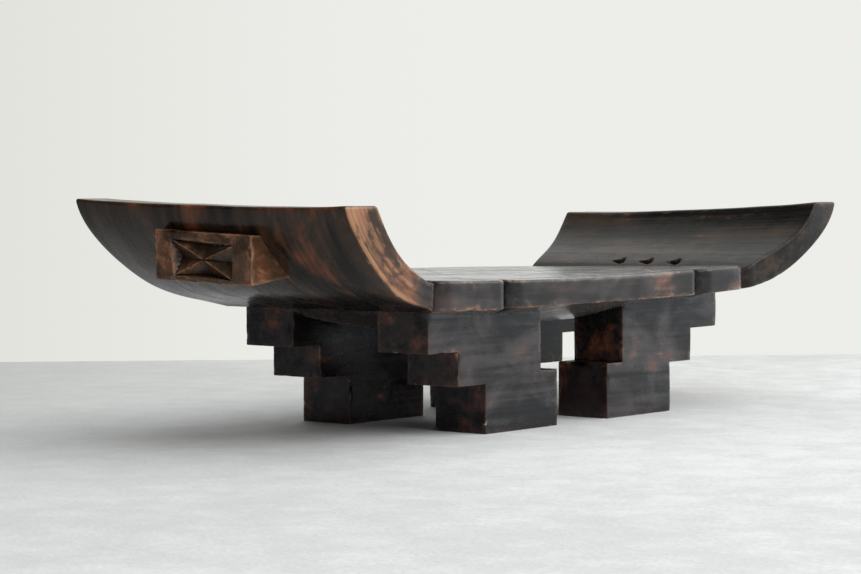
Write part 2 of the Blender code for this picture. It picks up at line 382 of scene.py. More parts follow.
class Signal:
    """A number in a material that can be written in plain sums."""

    def __init__(self, shader: "Shader", socket: bpy.types.NodeSocket) -> None:
        """Keeps the material and the socket that carries the number."""
        self.shader = shader
        self.socket = socket

    def _math(self, operation: str, first: "Signal | float", second: "Signal | float") -> "Signal":
        """Adds one Math node."""
        return self.shader.node("ShaderNodeMath", {"operation": operation}, {0: first, 1: second})

    def __add__(self, other: "Signal | float") -> "Signal":
        """Returns self + other."""
        return self._math("ADD", self, other)

    def __sub__(self, other: "Signal | float") -> "Signal":
        """Returns self - other."""
        return self._math("SUBTRACT", self, other)

    def __rsub__(self, other: float) -> "Signal":
        """Returns other - self."""
        return self._math("SUBTRACT", other, self)

    def __mul__(self, other: "Signal | float") -> "Signal":
        """Returns self * other."""
        return self._math("MULTIPLY", self, other)

    __radd__ = __add__
    __rmul__ = __mul__

    def eased(self, low: float, high: float, top: float = 1.0) -> "Signal":
        """Returns the number eased from 0 at low to top at high."""
        inputs = {0: self, 1: low, 2: high, 3: 0.0, 4: top}
        return self.shader.node("ShaderNodeMapRange", {"interpolation_type": "SMOOTHSTEP"}, inputs)


class Shader:
    """The node tree of a material or of the world."""

    def __init__(self, owner: bpy.types.Material | bpy.types.World) -> None:
        """Empties the owner's tree and adds its output."""
        owner.use_nodes = True
        self.owner = owner
        self.tree = owner.node_tree
        self.tree.nodes.clear()
        kind = "World" if isinstance(owner, bpy.types.World) else "Material"
        self.output = self.tree.nodes.new(f"ShaderNodeOutput{kind}")

    def node(self, kind: str, settings: dict, inputs: dict, output: int | str = 0) -> Signal:
        """Adds one node.

        Args:
            kind: Node type.
            settings: Properties, set before the sockets.
            inputs: Values or signals for sockets, by name or index.
            output: Which output to return.

        Returns:
            The chosen output.
        """
        node = self.tree.nodes.new(kind)
        for key, value in settings.items():
            setattr(node, key, value)
        for key, value in inputs.items():
            self.feed(node.inputs[key], value)
        return Signal(self, node.outputs[output])

    def feed(self, socket: bpy.types.NodeSocket, value: "Signal | float | tuple") -> None:
        """Links a signal to a socket, or sets its plain value.

        Args:
            socket: Input to fill.
            value: Signal, or a number or row of numbers.
        """
        if isinstance(value, Signal):
            self.tree.links.new(value.socket, socket)
        else:
            socket.default_value = value

    def close(self, surface: Signal) -> bpy.types.Material | bpy.types.World:
        """Returns the owner, with this surface or background on its output."""
        self.feed(self.output.inputs["Surface"], surface)
        return self.owner

    def field(self, name: str, output: str = "Fac") -> Signal:
        """Returns a number stored on the mesh, or a vector from the output "Vector"."""
        return self.node("ShaderNodeAttribute", {"attribute_name": name}, {}, output)

    def along(self, spot: Signal, direction: Triple | Vector) -> Signal:
        """Returns how far a place lies in a direction."""
        inputs = {0: spot, 1: tuple(direction)}
        return self.node("ShaderNodeVectorMath", {"operation": "DOT_PRODUCT"}, inputs, "Value")

    def place(self, scale: Triple, shift: Triple) -> Signal:
        """Returns the place in the uncut timber, scaled along each axis and shifted."""
        inputs = {0: self.field("grain", "Vector"), 1: scale, 2: shift}
        return self.node("ShaderNodeVectorMath", {"operation": "MULTIPLY_ADD"}, inputs)

    def bump(self, height: Signal, strength: float, distance: float) -> Signal:
        """Returns normals tilted by a field of heights."""
        inputs = {"Strength": strength, "Distance": distance, "Height": height}
        return self.node("ShaderNodeBump", {}, inputs)

    def clouds(self, scale: Triple, detail: float, seed: float, bend: float = 0.0) -> Signal:
        """Returns a cloudy field.

        Args:
            scale: Clouds per metre along each axis.
            detail: Octaves of finer clouds.
            seed: Which field to read.
            bend: How much the clouds swirl.

        Returns:
            A number around 0.5.
        """
        inputs = {"Vector": self.place(scale, (seed, seed * 0.7, seed * 1.3)), "Scale": 1.0,
                  "Detail": detail, "Roughness": 0.58, "Distortion": bend}
        return self.node("ShaderNodeTexNoise", {}, inputs)

    def mix(self, share: Signal, first: Signal | Triple, second: Signal | Triple) -> Signal:
        """Returns a blend of two colours.

        Args:
            share: 0 gives the first colour and 1 the second.
            first: Signal or red, green and blue.
            second: Signal or red, green and blue.

        Returns:
            The blended colour.
        """
        colours = [c if isinstance(c, Signal) else (*c, 1.0) for c in (first, second)]
        inputs = {0: share, 6: colours[0], 7: colours[1]}
        return self.node("ShaderNodeMix", {"data_type": "RGBA"}, inputs, 2)


@dataclass(frozen=True)
class WaxedWood:
    """Dark stained wood, waxed, with the stain worn through in places and worn along the edges.

    The mesh fields of warmth and rubbing say where the stain is thin and where it is gone; in places
    they also carry painted shade, painted highlights and painted sheen.
    """

    slot: str
    ground: Triple = (0.0040, 0.0036, 0.0038)
    grain: Triple = (0.0135, 0.0105, 0.0100)
    brown: Triple = (0.034, 0.0165, 0.0100)
    copper: Triple = (0.195, 0.058, 0.021)
    tan: Triple = (0.38, 0.195, 0.100)
    bare: Triple = (0.66, 0.50, 0.36)
    hollow_shade: Triple = (0.0035, 0.0022, 0.0016)  # painted shade darkening the hollows, grooves and carved recesses
    brown_cover: float = 0.70
    copper_cover: float = 0.80
    tan_cover: float = 0.85
    roughness: float = 0.30
    shine: float = 0.30  # specular level
    sheen: Triple = (1.0, 0.98, 0.97)  # colour of the reflections
    coat: float = 0.30  # thickness of the wax where it is polished
    coat_roughness: float = 0.20
    dust: float = 0.0  # pale bloom at a glancing view
    dust_roughness: float = 0.35
    dust_colour: Triple = (1.0, 0.95, 0.90)
    bump: float = 0.5
    bump_depth: float = 0.0006

    def material(self) -> bpy.types.Material:
        """Builds the finish.

        Returns:
            The material.
        """
        shader = Shader(bpy.data.materials.new(self.slot))
        edge, hollow = shader.field("edge"), shader.field("hollow")
        warm, rub_and_highlight, dull = shader.field("warm"), shader.field("rub_and_highlight"), shader.field("dull")
        fibres = shader.clouds((13.0, 560.0, 560.0), 3.0, 1.0)
        streaks = shader.clouds((7.0, 130.0, 130.0), 5.0, 2.0, 0.5)
        patches = shader.clouds((27.0, 36.0, 36.0), 7.0, 3.0, 0.6)
        drifts = shader.clouds((8.0, 11.0, 13.0), 4.0, 4.0, 0.4)
        rubs = shader.clouds((75.0, 130.0, 130.0), 6.0, 5.0, 0.6)
        specks = shader.clouds((340.0, 620.0, 620.0), 3.0, 6.0)
        nicks = shader.clouds((150.0, 170.0, 170.0), 5.0, 7.0)

        lines = (fibres * 0.55 + streaks * 0.45).eased(0.38, 0.66)
        colour = shader.mix(lines, self.ground, self.grain)
        haze = (drifts * 0.55 + patches * 0.25 + streaks * 0.20 + warm * 0.05).eased(0.47, 0.60)
        colour = shader.mix(haze * self.brown_cover, colour, self.brown)
        thin = (patches * 0.55 + streaks * 0.20 + rubs * 0.25 + warm * 0.12).eased(0.575, 0.72)
        thin_lines = thin * (0.35 + 0.65 * fibres.eased(0.25, 0.55))
        colour = shader.mix(thin_lines * self.copper_cover, colour, self.copper)
        # the rubbing field lightens toward tan: real wear, plus painted highlights and sheen where
        # worn() sets them
        gone = (rubs * 0.50 + patches * 0.32 + streaks * 0.18 + rub_and_highlight * 0.16).eased(0.60, 0.73)
        colour = shader.mix(gone * fibres.eased(0.28, 0.60) * self.tan_cover, colour, self.tan)
        # painted shade: hollows, grooves, gouges and sunk carving are darkened toward this colour
        colour = shader.mix(hollow.eased(0.0, 0.8) * 0.92, colour, self.hollow_shade)
        edge = edge * (1.0 - hollow)
        rim = (nicks * 0.45 + patches * 0.55 + rub_and_highlight * 0.16).eased(0.52, 0.66)
        colour = shader.mix(edge * (0.07 + 0.55 * rim), colour, self.tan)
        chips = edge * (nicks * 0.7 + rubs * 0.3).eased(0.60, 0.69)
        colour = shader.mix(chips * 0.7, colour, self.bare)

        gloss = self.roughness + (rubs - 0.5) * 0.30 + (patches - 0.5) * 0.35 + (fibres - 0.5) * 0.12
        gloss = gloss + edge * 0.08 + gone * 0.08
        height = fibres * 0.40 + specks * 0.20 + streaks * 0.60 + nicks * 0.25 + rubs * 0.35
        height = height + patches * 0.8
        polish = (streaks * 0.35 + patches * 0.40 + drifts * 0.25).eased(0.43, 0.58)
        return shader.close(shader.node("ShaderNodeBsdfPrincipled", {}, {
            "Base Color": colour,
            "Roughness": gloss,
            "Normal": shader.bump(height, self.bump, self.bump_depth),
            "Specular IOR Level": self.shine,
            "Specular Tint": (*self.sheen, 1.0),
            "Sheen Weight": self.dust,
            "Sheen Roughness": self.dust_roughness,
            "Sheen Tint": (*self.dust_colour, 1.0),
            "Coat Weight": (0.10 + 0.90 * polish) * (1.0 - dull) * self.coat,
            "Coat Roughness": self.coat_roughness,
            "Coat Tint": (*self.sheen, 1.0),
        }))


@cache
def material_of(finish: WaxedWood) -> bpy.types.Material:
    """Returns the material of a finish, made once."""
    return finish.material()


# ---------------------------------------------------------------- members


class Member:
    """One carved member that stands for a node of the frame."""

    node: str
    finish: WaxedWood

    def build(self) -> bpy.types.Object:
        """Makes the member's mesh."""
        raise NotImplementedError

    def worn(self, points: Array, normals: Array) -> tuple[Array, Array, Array]:
        """Finds where the stain is thin, where it is gone and where no polish reaches; the first two
        also carry painted shade and painted highlights.
        """
        raise NotImplementedError

    def dress(self) -> bpy.types.Object:
        """Builds the member, gives it its finish and puts it in its node's place.

        Returns:
            The finished piece.
        """
        obj = self.build()
        if "grain" not in obj.data.attributes:
            write_field(obj.data, "grain", read_points(obj.data))
        points, normals = read_points(obj.data), read_normals(obj.data)
        for name, values in zip(("warm", "rub_and_highlight", "dull"), self.worn(points, normals)):
            write_field(obj.data, name, values)
        obj.data.materials.append(material_of(self.finish))
        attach(obj, BODY)
        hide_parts(self.node)
        log.info("%s: %d faces, %s", obj.name, len(obj.data.polygons), self.finish.slot)
        return obj


@dataclass
class Seat(Member):
    """Lobed slab with a dished, incised top and a hanging underside."""

    finish: WaxedWood
    node: str = "seat"
    ends: Pair = (-0.17835, 0.18785)
    half_y: float = 0.0960
    crown: tuple[Triple, ...] = (  # place, height and lean up toward the front of the dished top
        (-0.181, 0.1029, 0.0), (-0.118, 0.1020, -0.0005), (-0.060, 0.1012, -0.0011),
        (0.0, 0.1011, -0.0010), (0.060, 0.1012, -0.0008), (0.118, 0.1010, 0.0005),
        (0.188, 0.1010, 0.0019))
    bottom: tuple[Pair, ...] = ((-0.1785, 0.0830), (-0.118, 0.0820), (0.0, 0.0826),
                                (0.118, 0.0834), (0.188, 0.0858))
    notches: Pair = (-0.1030, 0.1250)
    notch_radius: float = 0.0140
    notch_depth: float = 0.0110
    top_edge: float = 0.0020
    bottom_edge: float = 0.0011
    end_drop: float = 0.0008  # how far the top is worn down at its two ends
    end_worn: float = 0.0016  # length of that worn strip
    belly: float = 0.0180
    belly_x: float = 0.1760
    belly_inset: float = 0.0030  # flat border of the underside along the long edges
    belly_power: Pair = (5.0, 1.8)  # how squarely the belly ends along and across
    belly_rows: float = 0.0700  # half width of the even rows of the underside
    lattice_period: float = 0.1070
    cells: int = 80  # grid cells in one period of the lattice
    slope: float = 1.1  # of the incised diagonals
    panel_x: int = 85  # cells from the middle to the panel's end lines
    panel_y: int = 54  # cells from the middle to the panel's side lines
    border_x: int = 123  # cells from the middle to the outer end lines
    groove: float = 0.0009

    @property
    def pitch(self) -> float:
        """Returns the length of one grid cell."""
        return self.lattice_period / self.cells

    def stations(self) -> Array:
        """Returns the grid positions along the length."""
        first, last = math.ceil(self.ends[0] / self.pitch), math.floor(self.ends[1] / self.pitch)
        return np.array([self.ends[0], *(np.arange(first, last + 1) * self.pitch), self.ends[1]])

    def outline(self, xs: Array) -> tuple[Array, Array]:
        """Draws the back edge of the plan, with a rounded notch between lobes.

        Args:
            xs: Stations along the length.

        Returns:
            Points of the edge, and the outward direction at each.
        """
        cusps = np.array([self.ends[0], *self.notches, self.ends[1]])
        nearest = np.abs(xs[:, None] - cusps).argmin(axis=1)
        away = xs - cusps[nearest]
        first = math.asin(1.0 - self.notch_depth / self.notch_radius)
        width = self.notch_radius * math.cos(first)
        angle = first + (math.pi / 2 - first) * np.clip(np.abs(away) / width, 0.0, 1.0)
        along = width - self.notch_radius * np.cos(angle)
        depth = self.notch_radius * (1.0 - np.sin(angle))
        place = np.where(np.abs(away) < width, np.sign(away) * along, away)
        edge = np.stack([cusps[nearest] + place, self.half_y - depth], axis=1)
        run = np.gradient(edge, axis=0)
        facing = np.stack([-run[:, 1], run[:, 0]], axis=1)
        return edge, facing / np.linalg.norm(facing, axis=1)[:, None]

    def top(self, x: Array, y: Array) -> Array:
        """Shapes the dished top.

        Args:
            x: Places along the length.
            y: Places across the width.

        Returns:
            The height at each place.
        """
        places, heights, leans = np.array(self.crown).T
        height = fitted(places, heights, 4, x)
        lean = fitted(places, leans, 4, x) * (-y / self.half_y)
        from_end = np.minimum(x - self.ends[0], self.ends[1] - x)
        return height + lean - self.end_drop * (1.0 - smooth_step(from_end, 0.0, self.end_worn))

    def rim(self, x: Array) -> Array:
        """Returns the height of the lower edge."""
        keys, heights = zip(*self.bottom)
        return np.interp(x, keys, heights)

    def under(self, x: Array, y: Array) -> Array:
        """Shapes the hanging underside.

        Args:
            x: Places along the length.
            y: Places across the width.

        Returns:
            The height at each place.
        """
        along = np.clip(1.0 - np.abs(x / self.belly_x) ** self.belly_power[0], 0.0, 1.0)
        share = np.abs(y / (self.half_y - self.belly_inset))
        across = np.clip(1.0 - share ** self.belly_power[1], 0.0, 1.0)
        return self.rim(x) - self.belly * along * across

    def flank(self, xs: Array, side: int) -> list[Array]:
        """Lays rows from the top grid over one long edge to the underside.

        Args:
            xs: Stations along the length.
            side: 1 for the back edge and -1 for the front edge.

        Returns:
            Rows of points in order from the top.
        """
        edge, facing = (part * (1, side) for part in self.outline(xs))
        shoulder, heel = edge - facing * self.top_edge, edge - facing * self.bottom_edge
        inner, belly = (np.column_stack([xs, np.full(len(xs), side * y)])
                        for y in (self.panel_y * self.pitch * self.slope, self.belly_rows))
        top, rim = self.top(*edge.T), self.rim(edge[:, 0])
        rows = []
        for share in np.linspace(0.0, 1.0, 9)[1:-1]:
            plan = inner * (1 - share) + shoulder * share
            rows.append((plan, self.top(*plan.T)))
        for angle in np.radians(np.linspace(0.0, 90.0, 6)):
            plan = edge - facing * self.top_edge * (1 - math.sin(angle))
            rows.append((plan, top - self.top_edge * (1 - math.cos(angle))))
        for share in np.linspace(0.0, 1.0, 9)[1:-1]:
            z = (top - self.top_edge) * (1 - share) + (rim + self.bottom_edge) * share
            rows.append((edge, z))
        for angle in np.radians(np.linspace(0.0, 90.0, 5)):
            plan = edge - facing * self.bottom_edge * (1 - math.cos(angle))
            rows.append((plan, rim + self.bottom_edge * (1 - math.sin(angle))))
        for share in np.linspace(0.0, 1.0, 7)[1:-1]:
            plan = heel * (1 - share) + belly * share
            rows.append((plan, self.under(*plan.T)))
        return [np.column_stack(row) for row in rows]

    def incise(self, points: Array, columns: Array, lines: Array) -> None:
        """Sinks the points of the top grid that lie on an incised line.

        Args:
            points: Top grid, by station and row.
            columns: Cell number of each station, counted from the middle.
            lines: Cell number of each row, counted from the middle.
        """
        i, j = np.meshgrid(columns, lines, indexing="ij")
        half = self.cells // 2
        across, inside = np.abs(j) <= self.panel_y, np.abs(i) <= self.panel_x
        falling, rising = ((i + sign * j + half) % self.cells == 0 for sign in (1, -1))
        sides = (np.abs(j) == self.panel_y) & (np.abs(i) <= self.border_x)
        ends = (np.abs(i) == self.panel_x) | (np.abs(i) == self.border_x)
        cut = (inside & across & (falling | rising)) | sides | (ends & across)
        uneven = 1.0 + 0.35 * hills(points.reshape(-1, 3), 0.012, 31).reshape(cut.shape)
        points[..., 2] -= np.where(cut, self.groove * uneven, 0.0)

    def faces(self, columns: Array, lines: Array, count: int, size: int) -> list[tuple[int, ...]]:
        """Joins the rings of points, split along the incised diagonals.

        Args:
            columns: Cell number of each station, counted from the middle.
            lines: Cell number of each row of the top, counted from the middle.
            count: How many rings there are.
            size: How many points a ring has.

        Returns:
            The corners of each face.
        """
        half = self.cells // 2
        faces = []
        for i in range(count - 1):
            for j in range(size):
                k = (j + 1) % size
                a, b, c, d = i * size + j, i * size + k, (i + 1) * size + k, (i + 1) * size + j
                panel = j < len(lines) - 1 and abs(columns[i]) <= self.panel_x
                if panel and (columns[i] - lines[j] + half + 1) % self.cells <= 2:
                    faces += [(a, b, c), (a, c, d)]
                elif panel and (columns[i] + lines[j] + half + 2) % self.cells <= 2:
                    faces += [(a, b, d), (b, c, d)]
                else:
                    faces.append((a, b, c, d))
        return faces + [tuple(range(size)), tuple(range((count - 1) * size, count * size))]

    def worn(self, points: Array, normals: Array) -> tuple[Array, Array, Array]:
        """Rubs the lower rims of the long edges, lightens the top with rubbed wear and painted sheen,
        polishes the top and dulls the underside.

        Args:
            points: Vertex positions.
            normals: Vertex normals.

        Returns:
            How thin, rubbed and dull the finish is at each vertex; rubbed also carries painted sheen on
            the top.
        """
        flank = smooth_step(np.abs(normals[:, 1]), 0.4, 0.9)
        low = 1.0 - smooth_step(points[:, 2], 0.083, 0.089)
        top = smooth_step(normals[:, 2], 0.5, 0.9)
        # the 0.12 * top term lightens the top: partly rubbed wear, partly painted sheen
        rub_and_highlight = flank * (0.05 + 0.45 * low) + 0.12 * top
        return 0.10 + 0.15 * flank, rub_and_highlight, smooth_step(-normals[:, 2], 0.3, 0.8) - 1.1 * top

    def build(self) -> bpy.types.Object:
        """Makes the seat as closed rings of points set along the length.

        Returns:
            The piece.
        """
        xs = self.stations()
        columns = np.round(xs / self.pitch).astype(int)
        columns[[0, -1]] += (-1, 1)
        lines = np.arange(-self.panel_y, self.panel_y + 1)
        grid_x, grid_y = np.meshgrid(xs, lines * self.pitch * self.slope, indexing="ij")
        top = np.stack([grid_x, grid_y, self.top(grid_x, grid_y)], axis=2)
        self.incise(top, columns, lines)
        back, front = self.flank(xs, 1), self.flank(xs, -1)
        below = [np.column_stack([xs, np.full(len(xs), y), self.under(xs, np.full(len(xs), y))])
                 for y in np.linspace(self.belly_rows, -self.belly_rows, 41)]
        rings = np.stack([*top.transpose(1, 0, 2), *back, *below, *front[::-1]], axis=1)
        faces = self.faces(columns, lines, *rings.shape[:2])
        seat = make_piece("seat_slab", rings.reshape(-1, 3), faces, 50.0)
        Wear(seed=11, unevenness=0.00009, ripple=0.00002, chip_depth=0.00035).use(seat)
        return seat


@dataclass
class Wing(Member):
    """Upturned end board: a swept slab that flares toward its top edge."""

    finish: WaxedWood
    side: Side = Side.LEFT
    node: str = "left_wing"
    rise: Pair = (0.0012, 0.0056)  # lift of the top edge at the front and back corners
    corner_lift: float = 0.0014
    top_sag: float = 0.0006  # dip of the top edge between its corners
    start: tuple[Pair, Pair] = ((0.1785, 0.1010), (0.1785, 0.0827))  # inner, outer, by the seat
    inner: tuple[Pair, ...] = ((0.1990, 0.1058), (0.2056, 0.1087), (0.2173, 0.1135), (0.2328, 0.1215),
                               (0.2440, 0.1306), (0.2525, 0.1400), (0.2575, 0.1480))
    outer: tuple[Pair, ...] = ((0.2045, 0.0880), (0.2190, 0.0922), (0.2400, 0.1000), (0.2555, 0.1111),
                               (0.2697, 0.1217), (0.2830, 0.1360), (0.2887, 0.1480))
    half_y: tuple[Pair, ...] = ((0.0, 0.0960), (0.10, 0.0960), (0.30, 0.1000), (0.55, 0.1070),
                                (0.80, 0.1110), (1.0, 0.1130))
    flare: Pair = (0.0008, 0.0042)  # extra width of the back half: beside the seat, gained by the top
    bulge: tuple[Pair, ...] = ((0.0, 0.0), (0.25, 0.0004), (0.60, 0.0070), (0.85, 0.0040),
                               (1.0, 0.0))
    bulge_power: float = 2.2  # how squarely the bulge ends across the width
    taper: Pair = (0.999, 0.004)  # width of the inner face, and share lost by the outer one
    length: float = 0.0980  # along the sweep
    width: float = 0.1000  # half width of the straight board before it is flared
    thickness: float = 0.0240  # of the straight board
    root: float = 0.0026  # how far the board runs into the seat
    edge: float = 0.0017
    notch: float = 0.0080  # radius of the rounding beside the seat
    gouges: Triple = (-0.0280, -0.0030, 0.0220)
    gouge_past: float = 0.0074  # from the seat to the middle of a gouge
    gouge_radius: float = 0.0036
    gouge_depth: float = 0.0068

    def half_width(self, share: Array, run: Array, u: Array) -> Array:
        """Flares the board, with its corners rounded beside the seat.

        Args:
            share: Fraction of the sweep.
            run: Distance along the sweep.
            u: Place across the width, from -1 to 1.

        Returns:
            The half width at each place.
        """
        shares, halves = zip(*self.half_y)
        fit = fitted(shares, halves, 3, np.clip(share, 0.0, 1.0))
        fit += (self.flare[0] + self.flare[1] * share) * smooth_step(u, 0.0, 1.0)
        lean = np.clip((self.notch - run) / self.notch, 0.0, 0.98)
        kept = smooth_step(u, 0.0, 1.0) if self.side is Side.RIGHT else 0.0
        return fit - self.notch * (1.0 - np.sqrt(1.0 - lean ** 2)) * (1.0 - kept)

    def sweep(self, points: Array) -> Array:
        """Bends the straight board along the profile and flares it.

        Args:
            points: Run along the sweep, place across the width and depth from the inner face.

        Returns:
            Points in the frame, for the right wing.
        """
        share = points[:, 0] / self.length
        inner = fair_curve((self.start[0], *self.inner), 5, share)
        outer = fair_curve((self.start[1], *self.outer), 5, share)
        gap = np.linalg.norm(outer - inner, axis=1)
        across = (outer - inner) / gap[:, None]
        u, w = points[:, 1] / self.width, points[:, 2] / self.thickness
        shares, swells = zip(*self.bulge)
        swell = np.interp(share, shares, swells) * (1.0 - np.abs(u) ** self.bulge_power)
        place = inner + across * ((gap + swell) * w)[:, None]
        y = u * self.half_width(share, points[:, 0], u) * (self.taper[0] - self.taper[1] * w)
        back = (u + 1.0) / 2.0
        lift = self.rise[0] * (1 - back) + self.rise[1] * back + self.corner_lift * u ** 4
        lift -= self.top_sag * (1.0 - u ** 2)
        z = place[:, 1] + lift * np.clip(share, 0.0, 1.0) ** 2
        return np.stack([place[:, 0], y, z], axis=1)

    def gouge(self, points: Array, inner: Array) -> Array:
        """Scoops three comma-shaped gouges out of the inner face near the seat.

        Args:
            points: Points in the frame, for the right wing.
            inner: True on the inner face.

        Returns:
            The points, sunk inside the gouges.
        """
        sunk = points.copy()
        for number, centre in enumerate(self.gouges):
            dx = (points[:, 0] - self.start[0][0] - self.gouge_past) / self.gouge_radius
            dy = (points[:, 1] - centre) / self.gouge_radius
            tail = np.clip(dy, 0.0, None)
            across = np.where(dy > 0, dy * 0.42, dy * (1.0 + 0.08 * number))
            radius = np.hypot(dx * (1.0 + 0.45 * tail), across)
            bowl = np.clip(1.0 - radius ** 2, 0.0, 1.0) ** 0.5
            sunk[:, 2] -= np.where(inner, self.gouge_depth * bowl, 0.0)
        return sunk

    def worn(self, points: Array, normals: Array) -> tuple[Array, Array, Array]:
        """Warms the face around the lug, rubs the left end grain with a painted highlight at its top
        corner, paints a warm reflection band high on the inner face and dulls the inner face.

        Args:
            points: Vertex positions.
            normals: Vertex normals.

        Returns:
            How thin, rubbed and dull the finish is at each vertex; thin and rubbed also carry the
            painted reflection and the painted highlight.
        """
        reach = np.abs(points[:, 0])
        strip = smooth_step(np.abs(normals[:, 1]), 0.5, 0.9)
        around = np.exp(-((points[:, 1] / 0.062) ** 2 + ((points[:, 2] - 0.122) / 0.024) ** 2))
        down = smooth_step(-normals[:, 2], -0.1, 0.4)
        outer = down * (1 - strip)
        high = smooth_step(points[:, 2], 0.128, 0.152)
        touched = 1.2 * smooth_step(reach, 0.188, 0.215) if self.side is Side.LEFT else 0.04
        inner = (1 - outer) * (1 - strip)
        # painted reflection: the inner * high term puts an orange-brown band high on the inner face
        warm = outer * (0.20 + 0.80 * around) + strip * touched + inner * 0.75 * high
        # rubbed wear toward the outer end, plus a painted highlight on the lit top corner (second term)
        top = smooth_step(reach, 0.20, 0.26) + 0.8 * smooth_step(reach, 0.268, 0.284)
        rub_and_highlight = strip * touched * (0.60 + 0.40 * top) - 0.35 * outer
        dull = 0.95 * (1.0 - down) * smooth_step(points[:, 2], 0.112, 0.134)
        return warm, rub_and_highlight, dull * (np.abs(normals[:, 1]) < 0.5)

    def build(self) -> bpy.types.Object:
        """Makes the wing from a straight board.

        Returns:
            The piece.
        """
        board = Timber(
            boxes=[((-self.root, -self.width, 0.0), (self.length, self.width, self.thickness))],
            edge=self.edge, pitch=(0.0026, 0.0030, 0.0030),
            fine=((0, 0.0030, 0.0125, 0.0006), (1, -0.0360, 0.0345, 0.0008)),
        )
        flat, quads = board.surface()
        points = self.sweep(board.worn(flat))
        inner = (flat[:, 2] < 1e-6) & (np.abs(flat[:, 1]) < self.width - 0.02)
        before = points[:, 2].copy()
        points = self.gouge(points, inner)
        sunk = smooth_step(before - points[:, 2], 0.0002, 0.0016)
        points[:, 0] *= self.side.value
        wing = make_piece(f"{self.node}_board", points, quads.tolist(), 50.0)
        grain = flat * (1.0, self.side.value, 1.0) + (0.25 * self.side.value, 0.0, 0.0)
        write_field(wing.data, "grain", grain if self.side is Side.LEFT else grain[:, [1, 0, 2]])
        Wear(seed=21 + self.side.value, unevenness=0.0003, chip_depth=0.0007).use(wing)
        # painted shade: darkens the gouges by how deep they are
        paint_hollow_shade(wing.data, sunk)
        return wing


@dataclass
class Leg(Member):
    """Upright board whose outer end rises in two steps and whose foot has a ledge."""

    finish: WaxedWood
    node: str
    side: Side
    middle_in: float  # from the outer end to the middle step
    foot_in: float  # from the outer end to the foot
    foot_top: float
    step_top: float
    ledge: Pair = (0.0189, 0.0385)  # width and height of the ledge on the inner side
    top: float = 0.0860
    bend_from: float = 0.0600  # above this height the board follows the underside
    bite: float = 0.0025  # how far the board runs into the underside
    edge: float = 0.0008
    grow: float = 0.0003  # skin outside the frame's flat faces
    seed: int = 1

    def build(self) -> bpy.types.Object:
        """Makes the leg under the seat.

        Returns:
            The piece.
        """
        low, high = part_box(self.node)
        reach = max(abs(low.x), abs(high.x)) + self.grow
        heel = min(abs(low.x), abs(high.x)) - self.grow
        inner = heel + self.ledge[0]
        spans = (
            (heel, reach - self.foot_in, 0.0, self.ledge[1]),
            (inner, reach - self.foot_in, 0.0, self.top),
            (heel, reach - self.middle_in, self.foot_top, self.ledge[1]),
            (inner, reach - self.middle_in, self.foot_top, self.top),
            (inner, reach, self.step_top, self.top),
        )
        front, back = low.y - self.grow, high.y + self.grow
        block = Timber(boxes=[((x0, front, z0), (x1, back, z1)) for x0, x1, z0, z1 in spans],
                       edge=self.edge, pitch=(0.0028, 0.0028, 0.0028))
        flat, quads = block.surface()
        points = block.worn(flat)
        points[:, 0] *= self.side.value
        seat = Seat(self.finish)
        under = seat.under(points[:, 0], points[:, 1]) + self.bite
        share = np.clip((points[:, 2] - self.bend_from) / (self.top - self.bend_from), 0.0, 1.0)
        points[:, 2] += share * (under - self.top)
        leg = make_piece(f"{self.node}_board", points, quads.tolist(), 50.0)
        free = smooth_step(points[:, 2], 0.0, 0.0016)
        Wear(seed=self.seed, unevenness=0.0003, chip_depth=0.0008).use(leg, 0.25 + 0.75 * free)
        return leg

    def worn(self, points: Array, normals: Array) -> tuple[Array, Array, Array]:
        """Warms the end faces and leaves the faces turned to the middle unpolished.

        Args:
            points: Vertex positions.
            normals: Vertex normals.

        Returns:
            How thin, rubbed and dull the finish is at each vertex.
        """
        ends = smooth_step(np.abs(normals[:, 0]), 0.4, 0.9)
        inward = smooth_step(-normals[:, 1] * np.sign(points[:, 1].mean()), 0.4, 0.9)
        dull = np.maximum(0.95 * inward, 0.65 * ends)
        return 0.15 + 0.40 * ends, np.zeros(len(points)), dull


